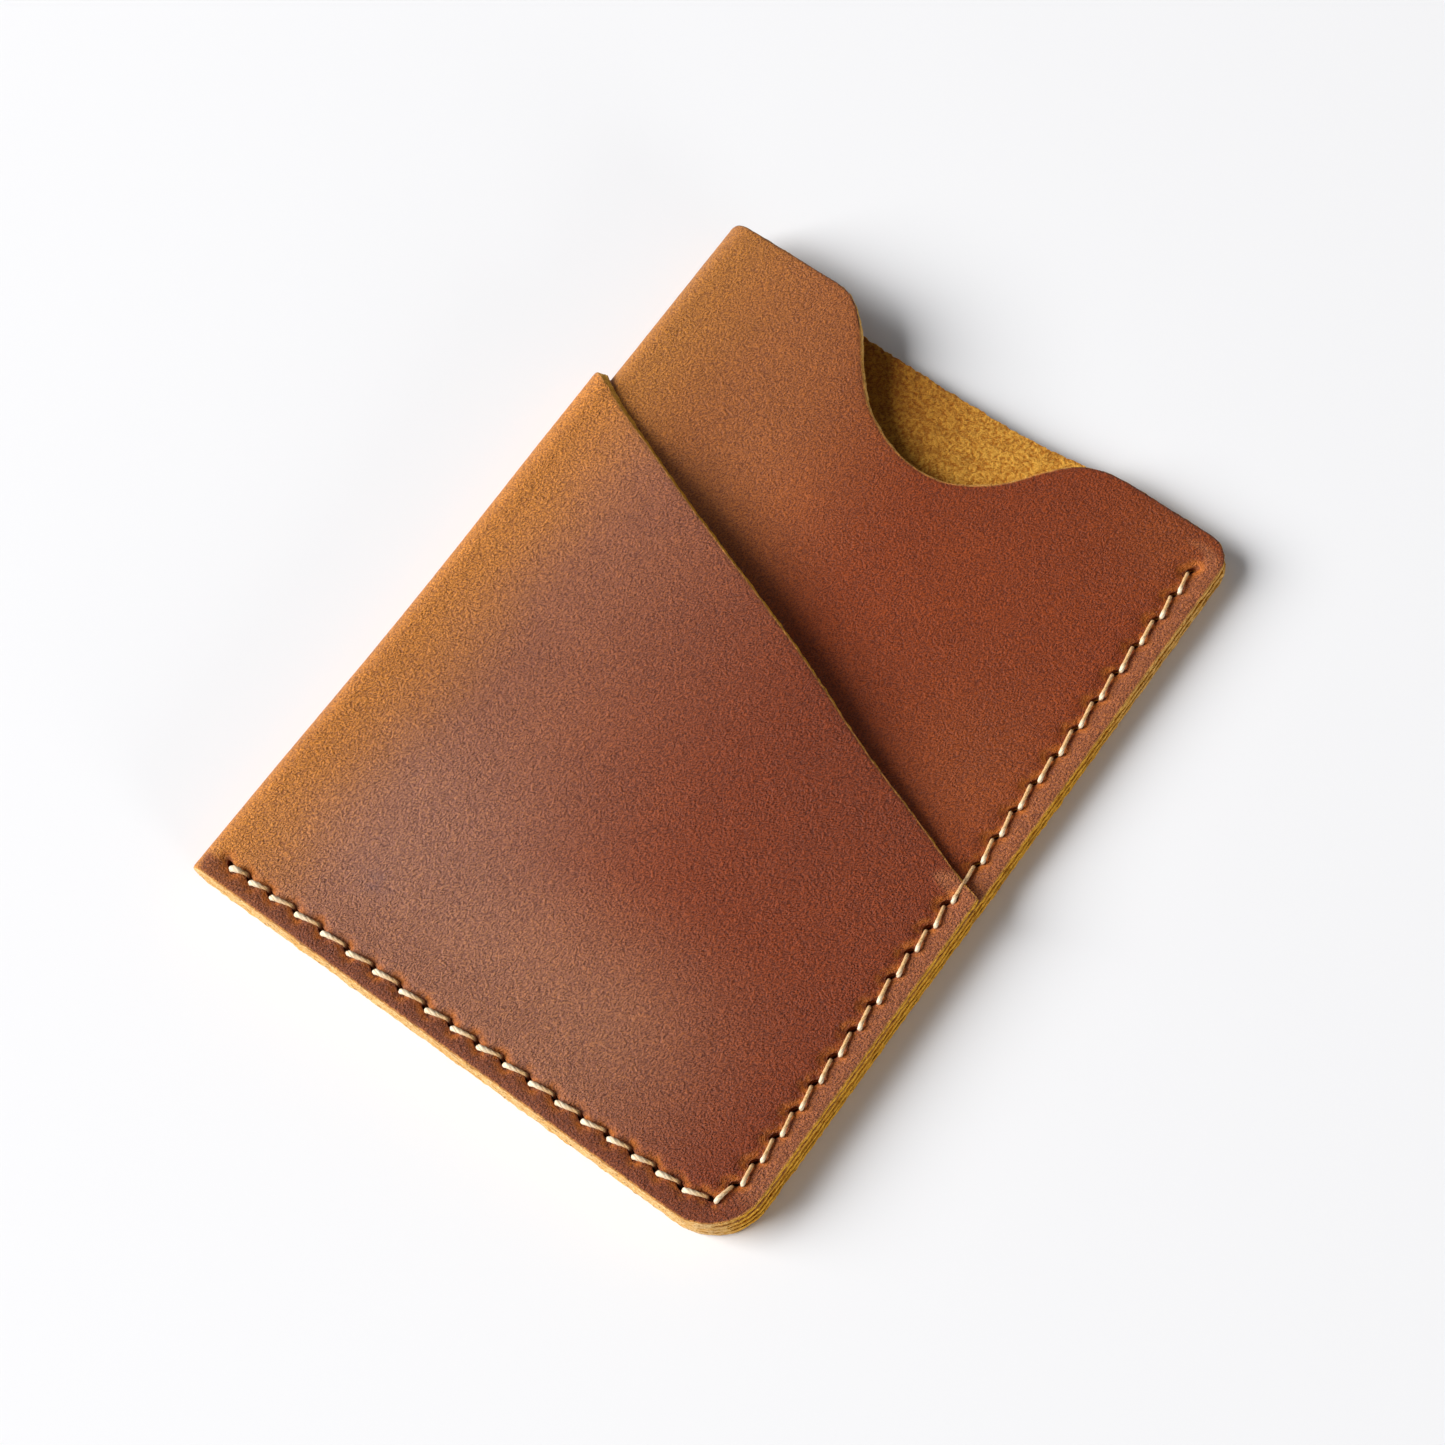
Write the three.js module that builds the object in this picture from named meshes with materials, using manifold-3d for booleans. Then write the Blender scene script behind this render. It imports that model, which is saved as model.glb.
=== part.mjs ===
// Hand-sewn leather card holder, modelled lying on its back.
// Millimetres. +X runs from the folded edge to the sewn side edge, +Y from the sewn bottom edge to
// the open top, +Z up through the layers. The origin is the middle of the outline at the back face.
//
// Three pieces: an inner leather folded round the cards, an outer leather folded round the inner
// one with a slanted front pocket mouth, and one waxed thread in saddle stitch that holds them.

import * as THREE from 'three';
import { mergeVertices } from 'three/addons/utils/BufferGeometryUtils.js';
import Module from 'manifold-3d';

// ---- driving dimensions ---------------------------------------------------------------------
const WIDTH = 69.8;             // folded edge to sewn side edge
const TOP_RIGHT = 93.75;        // height of the top edge over most of the width
const TOP_LEFT_EXTRA = 0.45;    // the top edge was cut this much higher beside the folded edge
const LEATHER = 1.0;            // thickness of the leather
const GAP = 0.15;               // air between two leathers that lie on each other
const FOLD_INSET = 1.9;         // inner fold behind the outer fold, at the top
const FOLD_INSET_LOW = 1.15;    // the same at the bottom seam
const SPREAD = 3.5;             // how far the inner front stands off its back at the top of the fold
const BACK_DIP = 1.4;           // the back's top edge lies this much lower from the fold to past the notch
const MOUTH_HEIGHT = 70.3;      // slanted mouth of the front pocket at the folded edge
const MOUTH_SLOPE = 0.405;      // drop of the mouth per millimetre there, towards the sewn edge
const MOUTH_EASE = 0.00075;     // the drop eases off by this towards the sewn edge, as the panel is bowed
const MOUTH_GAPE = 1.9;         // how far the pocket mouth stands open in the middle
const BACK_SLOPE = 0.38;        // rise of the same cut across the back
const SIDE_LEAN = 0.07;         // lean of the trimmed side edge, per millimetre of height
const CORNER_BOTTOM = 6.5;      // radius of the sewn bottom corner
const CORNER_TOP = 3.2;         // radius of the top corner at the sewn edge
const THREAD_R = 0.30;          // thread radius
const SLIT_OFFSET = 0.5;        // each strand's distance from the middle of its awl slit
const SLIT_CLEAR = 0.12;        // clearance of the strands in their slit
const GROOVE_DEPTH = 0.70;      // stitching groove in the back, so the thread lies below the surface
const GROOVE_WIDTH = 1.9;

// thumb notch in the inner front, as points on its rim (x from the folded edge, y from the bottom)
const NOTCH = [
  [16.2, 94.2], [18.6, 93.75], [21.6, 91.25], [24.3, 87.8], [27.0, 84.75], [30.4, 82.65],
  [35.2, 81.35], [39.2, 81.75], [42.1, 83.2], [45.3, 86.0], [47.4, 88.9], [49.7, 91.5],
  [52.6, 93.2], [55.2, 93.75],
];

// awl slits: along the bottom seam, round the corner, and up the side seam
const SLITS = [
  [3.7, 2.35], [6.3, 2.3], [9.1, 2.3], [12.4, 2.4], [15.9, 2.4], [19.4, 2.3], [22.9, 2.35],
  [26.4, 2.3], [29.8, 2.25], [33.1, 2.3], [36.5, 2.3], [39.8, 2.4], [43.1, 2.4], [46.5, 2.4],
  [49.8, 2.4], [53.0, 2.5], [56.1, 2.5], [59.1, 2.6], [62.2, 2.7], [65.4, 3.4],
  [66.7, 6.0], [67.0, 9.0], [67.1, 12.3], [67.1, 15.6], [67.1, 19.0], [67.1, 22.4], [67.1, 25.8],
  [67.1, 29.2], [67.1, 32.7], [67.1, 36.0], [67.2, 39.2], [67.2, 42.4],
  [67.1, 48.1], [67.0, 51.7], [66.9, 55.3], [66.9, 59.0], [67.0, 62.8], [67.0, 66.6], [67.0, 70.5],
  [67.0, 74.4], [67.0, 78.3], [67.1, 82.1], [67.1, 85.6], [67.1, 89.0],
];

// ---- shape of the leathers --------------------------------------------------------------------
const PITCH = LEATHER + GAP;                    // rise of each layer in the sewn stack
const STACK3 = 3 * LEATHER + 2 * GAP;           // sewn stack of three layers
const STACK4 = 4 * LEATHER + 3 * GAP;           // sewn stack of four layers
const X0 = WIDTH / 2;
const Y0 = (TOP_RIGHT + TOP_LEFT_EXTRA) / 2;

const clamp = (v, a, b) => Math.min(Math.max(v, a), b);
const step = (a, b, x) => { const u = clamp((x - a) / (b - a), 0, 1); return u * u * (3 - 2 * u); };

// extra height of the inner front over the flat stack: none at the seams, most at the open top
const swell = (y) => SPREAD * (0.1 * step(4.2, 16, y) + 0.9 * Math.pow(Math.max(y - 6, 0) / (TOP_RIGHT - 6), 2));
const across = (x) => (x < 14 ? 1 : 0.5 * (1 + Math.cos(Math.PI * clamp((x - 14) / (64.8 - 14), 0, 1))));
const innerFront = (x, y) => STACK3 + swell(y) * across(x);

const mouthY = (x) => MOUTH_HEIGHT - MOUTH_SLOPE * x + MOUTH_EASE * x * x;
const gape = (x, y) => {
  const u = clamp((x - 4) / (WIDTH - 5 - 4), 0, 1);
  return MOUTH_GAPE * Math.pow(Math.sin(Math.PI * u), 1.3) * step(0.12, 1, y / mouthY(x));
};
const outerFront = (x, y) => innerFront(x, y) + PITCH + gape(x, y);

// monotone run through the notch points
function notchY(x) {
  const p = NOTCH, n = p.length;
  if (x <= p[0][0] || x >= p[n - 1][0]) return Infinity;
  let i = 0;
  while (x > p[i + 1][0]) i++;
  const slope = (k) => (k <= 0 || k >= n - 1 ? 0 : (p[k + 1][1] - p[k - 1][1]) / (p[k + 1][0] - p[k - 1][0]));
  const h = p[i + 1][0] - p[i][0], s = (x - p[i][0]) / h;
  const a = p[i][1], b = p[i + 1][1], da = slope(i) * h, db = slope(i + 1) * h;
  return a + s * da + s * s * (3 * (b - a) - 2 * da - db) + s * s * s * (2 * (a - b) + da + db);
}
const topEdge = (x) => TOP_RIGHT + TOP_LEFT_EXTRA * (1 - step(17, 40, x));

function bottomEdge(x) {
  const d = x - (WIDTH - CORNER_BOTTOM);
  return d > 0 ? CORNER_BOTTOM - Math.sqrt(Math.max(CORNER_BOTTOM * CORNER_BOTTOM - d * d, 0)) : 0;
}
function cornerTop(x) {
  const d = x - (WIDTH - CORNER_TOP);
  return d > 0 ? TOP_RIGHT - CORNER_TOP + Math.sqrt(Math.max(CORNER_TOP * CORNER_TOP - d * d, 0)) : topEdge(x);
}

// A folded leather: stations run from the side edge along the back to the fold, round it, and along
// the front to the side edge. Each station has a middle line point and an outward direction.
// x positions shared by the flats of both leathers, dense at the trimmed corners
const FLAT_X = [8, 12, 16.2, 18.6, 21.6, 24.3, 27, 30.4, 35.2, 39.2, 42.1, 45.3, 47.4, 49.7, 52.6, 55.2, 60,
  WIDTH - 6.5, WIDTH - 4.6, WIDTH - 3.2, WIDTH - 1.6, WIDTH - 0.5, WIDTH];
const BACK_X = [12, 27, 42, 46.5, 51.5, 56, 61.7, WIDTH - 6.5, WIDTH - 4.6, WIDTH - 3.2, WIDTH - 1.6, WIDTH - 0.5, WIDTH];
const ARC = 8;

function foldedLeather({ backZ, frontZ, foldX, rows, backTop, frontTop }) {
  const nb = BACK_X.length, nf = FLAT_X.length, cols = nb + ARC + 1 + nf - 1;
  const box = new THREE.BoxGeometry(1, 1, 1, cols, rows.length - 1, 1);
  box.deleteAttribute('normal');
  box.deleteAttribute('uv');
  const pos = box.attributes.position;
  const lean = (x, z) => x - SIDE_LEAN * z * step(WIDTH - 12, WIDTH, x);
  for (let i = 0; i < pos.count; i++) {
    const c = Math.round((pos.getX(i) + 0.5) * cols);
    const v = rows[Math.round((pos.getY(i) + 0.5) * (rows.length - 1))];
    const side = pos.getZ(i) > 0 ? 1 : -1;          // +1 on the grain side, outside the fold
    let x, y, z, nx, nz;
    if (c < nb) {                                   // back, from the side edge to the fold
      x = BACK_X[nb - 1 - c];
      const lo = bottomEdge(x), hi = backTop(x);
      y = lo + v * (hi - lo);
      z = backZ; nx = 0; nz = -1;
    } else if (c <= nb + ARC) {                     // round the fold
      const a = (c - nb) / ARC;
      const hi = backTop(3) * (1 - a) + frontTop(3) * a;
      y = v * hi;
      const r = (frontZ(6, y) - backZ) / 2, xe = foldX(y) + LEATHER / 2;
      const t = Math.PI * a;
      x = xe + r - r * Math.sin(t);
      z = backZ + r - r * Math.cos(t);
      nx = -Math.sin(t); nz = -Math.cos(t);
    } else {                                        // front, from the fold to the side edge
      x = FLAT_X[c - nb - ARC - 1];
      const lo = bottomEdge(x), hi = frontTop(x);
      y = lo + v * (hi - lo);
      z = frontZ(x, y);
      const s = (frontZ(x + 0.2, y) - frontZ(x - 0.2, y)) / 0.4;
      nx = -s / Math.hypot(s, 1); nz = 1 / Math.hypot(s, 1);
    }
    x += side * nx * LEATHER / 2;
    z += side * nz * LEATHER / 2;
    if (c > nb + ARC && c === cols || c === 0) x = WIDTH;   // trimmed side edge stays in one plane
    pos.setXYZ(i, lean(x, z) - X0, y - Y0, z);
  }
  return mergeVertices(box, 1e-4);
}

const ROWS_INNER = [0, 0.045, 0.075, 0.11, 0.15, 0.2, 0.28, 0.38, 0.5, 0.62, 0.74, 0.86, 0.94, 1];
const ROWS_OUTER = [0, 0.06, 0.09, 0.13, 0.18, 0.24, 0.32, 0.43, 0.56, 0.7, 0.85, 1];

const innerGeometry = foldedLeather({
  backZ: PITCH + LEATHER / 2,
  frontZ: (x, y) => innerFront(x, y) - LEATHER / 2,
  foldX: (y) => FOLD_INSET_LOW + (FOLD_INSET - FOLD_INSET_LOW) * step(4, 70, y),
  rows: ROWS_INNER,
  backTop: (x) => Math.min(cornerTop(x), TOP_RIGHT - BACK_DIP * (1 - step(40, 57, x))),
  frontTop: (x) => Math.min(cornerTop(x), notchY(x)),
});

const outerGeometry = foldedLeather({
  backZ: LEATHER / 2,
  frontZ: (x, y) => outerFront(x, y) - LEATHER / 2,
  foldX: () => 0,
  rows: ROWS_OUTER,
  backTop: (x) => Math.min(cornerTop(x), MOUTH_HEIGHT + BACK_SLOPE * x),   // the same cut goes on round the fold
  frontTop: mouthY,
});

// ---- slits and stitching groove ---------------------------------------------------------------
const wasm = await Module();
wasm.setup();

function solid(geometry) {
  const g = geometry.clone();
  for (const name of Object.keys(g.attributes)) if (name !== 'position') g.deleteAttribute(name);
  const m = mergeVertices(g, 1e-4);
  return new wasm.Manifold(new wasm.Mesh({
    numProp: 3,
    vertProperties: new Float32Array(m.attributes.position.array),
    triVerts: new Uint32Array(m.index.array),
  }));
}
function geometryOf(manifold) {
  const mesh = manifold.getMesh();
  const g = new THREE.BufferGeometry();
  g.setAttribute('position', new THREE.BufferAttribute(Float32Array.from(mesh.vertProperties), 3));
  g.setIndex(Array.from(mesh.triVerts));
  g.computeVertexNormals();
  return g;
}

// direction of the run of holes at slit i, and the slit's own direction, turned 45 degrees from it
function runAt(i) {
  const a = SLITS[Math.max(i - 1, 0)], b = SLITS[Math.min(i + 1, SLITS.length - 1)];
  return new THREE.Vector2(b[0] - a[0], b[1] - a[1]).normalize();
}
function slitDir(i) {
  return runAt(i).rotateAround(new THREE.Vector2(), -Math.PI / 4);
}

function slitPrism(i) {
  const d = slitDir(i), n = new THREE.Vector2(-d.y, d.x);
  const half = SLIT_OFFSET + THREAD_R + SLIT_CLEAR + 0.1, w = THREAD_R + SLIT_CLEAR;
  const corners = [[half, 0], [half - 0.3, w], [-half + 0.3, w], [-half, 0], [-half + 0.3, -w], [half - 0.3, -w]]
    .map(([a, b]) => new THREE.Vector2(SLITS[i][0] + d.x * a + n.x * b, SLITS[i][1] + d.y * a + n.y * b));
  const g = new THREE.ExtrudeGeometry(new THREE.Shape(corners), { depth: 8, bevelEnabled: false });
  g.translate(-X0, -Y0, -1);
  return solid(g);
}

function groovePrism() {
  const h = GROOVE_WIDTH / 2;
  const left = [], right = [];
  SLITS.forEach((s, i) => {
    if (i % 3 && i !== 19 && i !== 18 && i !== 20 && i !== SLITS.length - 1) return;
    const r = runAt(i), n = new THREE.Vector2(-r.y, r.x);
    const e = i === 0 ? -1.1 : i === SLITS.length - 1 ? 1.1 : 0;
    left.push(new THREE.Vector2(s[0] + n.x * h + r.x * e, s[1] + n.y * h + r.y * e));
    right.push(new THREE.Vector2(s[0] - n.x * h + r.x * e, s[1] - n.y * h + r.y * e));
  });
  const g = new THREE.ExtrudeGeometry(new THREE.Shape([...left, ...right.reverse()]), { depth: 1 + GROOVE_DEPTH, bevelEnabled: false });
  g.translate(-X0, -Y0, -1);
  return solid(g);
}

let inner = solid(innerGeometry);
let outer = solid(outerGeometry);
for (let i = 0; i < SLITS.length; i++) {
  const s = slitPrism(i);
  inner = inner.subtract(s);
  outer = outer.subtract(s);
}
outer = outer.subtract(groovePrism());

// ---- thread -----------------------------------------------------------------------------------
// Saddle stitch: one thread, both ends through every slit. A stitch on the front leaves a slit at
// its far end and enters the next slit at its near end; on the back it is the other way round.
const near = (i) => { const d = slitDir(i); return [SLITS[i][0] - d.x * SLIT_OFFSET, SLITS[i][1] - d.y * SLIT_OFFSET]; };
const far = (i) => { const d = slitDir(i); return [SLITS[i][0] + d.x * SLIT_OFFSET, SLITS[i][1] + d.y * SLIT_OFFSET]; };
const LAST_LOW = 31;                                             // last slit through four layers
const topZ = (i) => (i <= LAST_LOW ? STACK4 : STACK3) + THREAD_R + 0.06;
const BACK_Z = THREAD_R + 0.05;
const BEND = 0.36;

function strand(frontFirst) {
  const pts = [];
  const add = (x, y, z) => pts.push(new THREE.Vector3(x - X0, y - Y0, z));
  for (let i = 0; i < SLITS.length - 1; i++) {
    const front = frontFirst ? i % 2 === 0 : i % 2 === 1;
    const a = front ? far(i) : near(i), b = front ? near(i + 1) : far(i + 1);
    const za = front ? topZ(i) : BACK_Z, zb = front ? topZ(i + 1) : BACK_Z, turn = front ? -BEND : BEND;
    const len = Math.hypot(b[0] - a[0], b[1] - a[1]), ux = (b[0] - a[0]) / len * BEND, uy = (b[1] - a[1]) / len * BEND;
    add(a[0], a[1], za + turn);
    add(a[0] + ux, a[1] + uy, za);
    if (za !== zb) {                                             // over the edge of the pocket mouth
      const k = (mouthY(a[0]) + 0.7 - a[1]) / (b[1] - a[1]);
      add(a[0] + (b[0] - a[0]) * k, a[1] + (b[1] - a[1]) * k, za);
    }
    add(b[0] - ux, b[1] - uy, zb);
    add(b[0], b[1], zb + turn);
  }
  return pts;
}
const strandA = strand(true), strandB = strand(false);
// the two runs are one thread: it passes up through the first slit, and both tails end inside the last
strandB[0].set(strandA[0].x, strandA[0].y, strandB[0].z);
const tail = (pts, z) => { const e = pts[pts.length - 1]; pts.push(new THREE.Vector3(e.x, e.y, z)); };
tail(strandA, 2.0);
tail(strandB, 1.6);
const route = [...strandA.reverse(), ...strandB];

class Route extends THREE.Curve {
  constructor(points) { super(); this.points = points; }
  getPoint(t, target = new THREE.Vector3()) {
    const u = clamp(t, 0, 1) * (this.points.length - 1), i = Math.min(Math.floor(u + 1e-9), this.points.length - 2);
    return target.lerpVectors(this.points[i], this.points[i + 1], u - i);
  }
  getPointAt(u, target) { return this.getPoint(u, target); }
  getTangent(t, target = new THREE.Vector3()) {
    const n = this.points.length - 1, i = Math.round(t * n);
    const a = this.points[Math.max(i - 1, 0)], b = this.points[i], c = this.points[Math.min(i + 1, n)];
    const u = new THREE.Vector3().subVectors(b, a), v = new THREE.Vector3().subVectors(c, b);
    if (u.length() > 0) u.normalize();
    if (v.length() > 0) v.normalize();
    return target.addVectors(u, v).normalize();
  }
  getTangentAt(u, target) { return this.getTangent(u, target); }
}
const section = new THREE.Shape(Array.from({ length: 5 }, (_, k) =>
  new THREE.Vector2(Math.cos(k * Math.PI * 0.4) * THREAD_R, Math.sin(k * Math.PI * 0.4) * THREAD_R)));
const threadGeometry = new THREE.ExtrudeGeometry(section, {
  steps: route.length - 1, bevelEnabled: false, curveSegments: 1, extrudePath: new Route(route),
});

// ---- assembly ---------------------------------------------------------------------------------
function mesh(name, geometry, color, roughness) {
  const m = new THREE.Mesh(geometry, new THREE.MeshStandardMaterial({ color, roughness, metalness: 0 }));
  m.name = name;
  return m;
}

const cardHolder = new THREE.Group();
cardHolder.name = 'card_holder';
cardHolder.add(mesh('core_body', geometryOf(inner), 0x9a5f3c, 0.62));
cardHolder.add(mesh('outer_wrap', geometryOf(outer), 0x8a553f, 0.62));
cardHolder.add(mesh('stitch_thread', threadGeometry, 0xe2c99b, 0.55));

export default cardHolder;
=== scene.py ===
import math

import bpy
import numpy as np
from mathutils import Matrix, Vector
from mathutils.geometry import delaunay_2d_cdt
from mathutils.kdtree import KDTree


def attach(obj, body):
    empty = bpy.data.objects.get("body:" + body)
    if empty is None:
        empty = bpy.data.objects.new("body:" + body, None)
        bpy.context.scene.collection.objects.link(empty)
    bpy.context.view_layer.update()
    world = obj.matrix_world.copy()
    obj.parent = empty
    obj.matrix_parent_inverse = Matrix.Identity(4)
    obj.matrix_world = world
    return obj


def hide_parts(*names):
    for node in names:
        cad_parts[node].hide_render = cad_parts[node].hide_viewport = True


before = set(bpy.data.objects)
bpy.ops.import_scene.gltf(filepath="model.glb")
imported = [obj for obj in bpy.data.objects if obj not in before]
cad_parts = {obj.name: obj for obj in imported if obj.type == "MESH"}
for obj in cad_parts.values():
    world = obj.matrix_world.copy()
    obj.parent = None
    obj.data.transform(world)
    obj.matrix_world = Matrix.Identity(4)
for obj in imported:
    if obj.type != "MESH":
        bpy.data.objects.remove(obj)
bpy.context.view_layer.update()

rng = np.random.default_rng(7)

# ------------------------------------------------------------------------------------------------
# Sizes in millimetres, in a working frame whose corner is the folded edge and the bottom seam.
# The row's frame is that frame moved by (-X0, -Y0).
# ------------------------------------------------------------------------------------------------
W, TOP = 69.8, 93.75
X0, Y0 = 34.9, 47.1
T = 1.10                    # leather
PITCH = 1.135               # rise of each layer in the sewn stack
SLITS = np.array([
    [3.7, 2.35], [6.3, 2.3], [9.1, 2.3], [12.4, 2.4], [15.9, 2.4], [19.4, 2.3], [22.9, 2.35],
    [26.4, 2.3], [29.8, 2.25], [33.1, 2.3], [36.5, 2.3], [39.8, 2.4], [43.1, 2.4], [46.5, 2.4],
    [49.8, 2.4], [53.0, 2.5], [56.1, 2.5], [59.1, 2.6], [62.2, 2.7], [65.4, 3.4],
    [66.7, 6.0], [67.0, 9.0], [67.1, 12.3], [67.1, 15.6], [67.1, 19.0], [67.1, 22.4], [67.1, 25.8],
    [67.1, 29.2], [67.1, 32.7], [67.1, 36.0], [67.2, 39.2], [67.2, 42.4],
    [67.1, 48.1], [67.0, 51.7], [66.9, 55.3], [66.9, 59.0], [67.0, 62.8], [67.0, 66.6], [67.0, 70.5],
    [67.0, 74.4], [67.0, 78.3], [67.1, 82.1], [67.1, 85.6], [67.1, 89.0]])
LAST_LOW = 31
NOTCH = np.array([
    [16.2, 94.2], [18.6, 93.8], [21.6, 91.3], [24.3, 87.85], [27.0, 84.8], [30.4, 82.65],
    [35.2, 81.35], [39.2, 81.75], [42.1, 83.2], [45.3, 86.05], [47.4, 88.9], [49.7, 91.5],
    [52.5, 93.1], [55.2, 93.62], [58.0, 93.74], [60.5, 93.75]])


def ss(a, b, x):
    u = np.clip((np.asarray(x, float) - a) / (b - a), 0, 1)
    return u * u * (3 - 2 * u)


def smooth_noise(x, y, scale, seed, octaves=2):
    """Smooth value noise over the plane, about -1 to 1, features of about scale."""
    r = np.random.default_rng(seed)
    x, y = np.asarray(x, float), np.asarray(y, float)
    out, amp, tot = np.zeros(np.broadcast(x, y).shape), 1.0, 0.0
    for _ in range(octaves):
        g = r.random((64, 64)) * 2 - 1
        u, v = x / scale + 17.3, y / scale + 9.1
        i, j = np.floor(u).astype(int), np.floor(v).astype(int)
        fu, fv = u - i, v - j
        fu, fv = fu * fu * (3 - 2 * fu), fv * fv * (3 - 2 * fv)
        a, b = g[i % 64, j % 64], g[(i + 1) % 64, j % 64]
        c, d = g[i % 64, (j + 1) % 64], g[(i + 1) % 64, (j + 1) % 64]
        out += amp * ((a * (1 - fu) + b * fu) * (1 - fv) + (c * (1 - fu) + d * fu) * fv)
        tot += amp
        amp *= 0.5
        scale *= 0.5
    return out / tot


# ---- how the two leathers lie --------------------------------------------------------------------
def swell(y):
    return 3.5 * (0.1 * ss(4.2, 16, y) + 0.9 * (np.maximum(y - 6, 0) / (TOP - 6)) ** 2)


def across(x):
    return np.where(x < 14, 1.0, 0.5 * (1 + np.cos(np.pi * np.clip((x - 14) / (64.8 - 14), 0, 1))))


def mouth_y(x):
    line = 70.3 - 0.405 * x + 0.00075 * x * x
    return line + 0.7 * (1 - ss(1, 6, x)) - 0.2 * ss(10, 20, x) - 0.65 * ss(38, 52, x) - 0.35 * ss(58, 69, x)


def gape(x, y):
    u = np.clip((x - 4) / (W - 9), 0, 1)
    m = mouth_y(np.clip(x, 0, W))
    corner = 0.42 * ss(66.9, 68.9, x) * np.exp(-((m - y) / 3.0) ** 2)
    return 2.2 * np.sin(np.pi * u) ** 1.3 * ss(0.12, 1, y / np.maximum(m, 1)) + corner


def sway(x, y):
    """Slow unevenness of a handled panel, none at the fold and the seams."""
    m = ss(5, 16, x) * ss(65, 52, x) * ss(5, 18, y)
    return 0.16 * smooth_noise(x, y, 19, 3) * m


class Core:
    """The inner leather: back panel, fold, front panel with the thumb notch."""
    A = 4.0
    lean = (-0.02, 0.18)          # how far the trimmed side edge stands back, on the back and front
    zb = 0.5 * T + PITCH

    @staticmethod
    def front(x, y):
        # the panel sags where the pocket's mouth stands open over it
        sag = 0.88 * np.exp(-((y - mouth_y(x) - 1.5) / 10.5) ** 2) * ss(8, 24, x) * ss(67, 50, x)
        return 0.5 * T + 2 * PITCH + (swell(y) * across(x) + sway(x, y)) * (1 - sag)

    @staticmethod
    def fold_x(y):
        return 0.5 * T + PITCH + 0.75 * ss(4, 70, y)

    @staticmethod
    def back_top(x):
        return TOP - 1.4 * (1 - ss(40, 57, x)) + 1.85 * (1 - ss(0, 13, x)) + 0.10 * smooth_noise(x, 0 * x, 6, 21) * ss(0, 3, x)

    @staticmethod
    def front_top(x):
        return TOP + 0.45 * (1 - ss(17, 40, x)) + 0.05 * smooth_noise(x, 0 * x, 7, 22)


class Wrap:
    """The outer leather: back panel, fold, front pocket with the slanted mouth."""
    A = 4.0
    lean = (-0.14, 0.36)
    zb = 0.5 * T

    @staticmethod
    def front(x, y):
        return 0.5 * T + 3 * PITCH + swell(y) * across(x) + sway(x, y) + gape(x, y)

    @staticmethod
    def fold_x(y):
        return 0.5 * T + 0.30 * np.sin(np.pi * np.clip(y / 70, 0, 1)) ** 2

    @staticmethod
    def back_top(x):
        return np.minimum(70.3 + 0.38 * x + 0.7 * (1 - ss(1, 8, x)), TOP - 0.02) + 0.08 * smooth_noise(x, 0 * x, 8, 23) * ss(64, 56, x)

    @staticmethod
    def front_top(x):
        return mouth_y(x) + 0.09 * smooth_noise(x, 0 * x, 6, 24, 3)


def fold_edge(kind, y):
    """Where the fold's curve ends and the flats begin, and its radius."""
    r = (kind.front(np.full_like(y, 6.0), y) - kind.zb) / 2
    return kind.fold_x(y) + r, r


def to_q(kind, x, y, front=True):
    x, y = np.asarray(x, float), np.asarray(y, float)
    xf, _ = fold_edge(kind, y)
    q = kind.A + (x - xf) * (W - kind.A) / (W - xf)
    return q if front else -q


def middle(kind, q, y):
    """Point of the leather's middle layer at (q, y): q is measured round the fold, + in front."""
    q, y = np.asarray(q, float), np.asarray(y, float)
    xf, r = fold_edge(kind, y)
    aq = np.abs(q)
    x_flat = xf + (aq - kind.A) * (W - xf) / (W - kind.A)
    ang = np.pi / 2 * (1 + np.clip(q / kind.A, -1, 1))
    on_fold = aq < kind.A
    x = np.where(on_fold, xf - r * np.sin(ang), x_flat)
    z_front = kind.front(x_flat, y)
    z = np.where(on_fold, kind.zb + r - r * np.cos(ang), np.where(q > 0, z_front, kind.zb))
    lean = np.where(q > 0, kind.lean[1], kind.lean[0])
    x = x - lean * ss(W - 14, W, x)
    return np.stack([x, y, z], -1)


def with_normal(kind, q, y):
    e = 0.05
    p = middle(kind, q, y)
    dq = middle(kind, q + e, y) - middle(kind, q - e, y)
    dy = middle(kind, q, y + e) - middle(kind, q, y - e)
    n = np.cross(dq, dy)
    n /= np.linalg.norm(n, axis=-1, keepdims=True)
    return p, n


# ---- outline and slits in the flat (q, y) pattern ------------------------------------------------------
def hermite(pts, x):
    px, py = pts[:, 0], pts[:, 1]
    m = np.gradient(py, px)
    m[0] = m[-1] = 0
    i = np.clip(np.searchsorted(px, x) - 1, 0, len(px) - 2)
    h = px[i + 1] - px[i]
    s = (x - px[i]) / h
    a, b, da, db = py[i], py[i + 1], m[i] * h, m[i + 1] * h
    return a + s * da + s * s * (3 * (b - a) - 2 * da - db) + s ** 3 * (2 * (a - b) + da + db)


RB, RT = 6.5, 3.2


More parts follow.
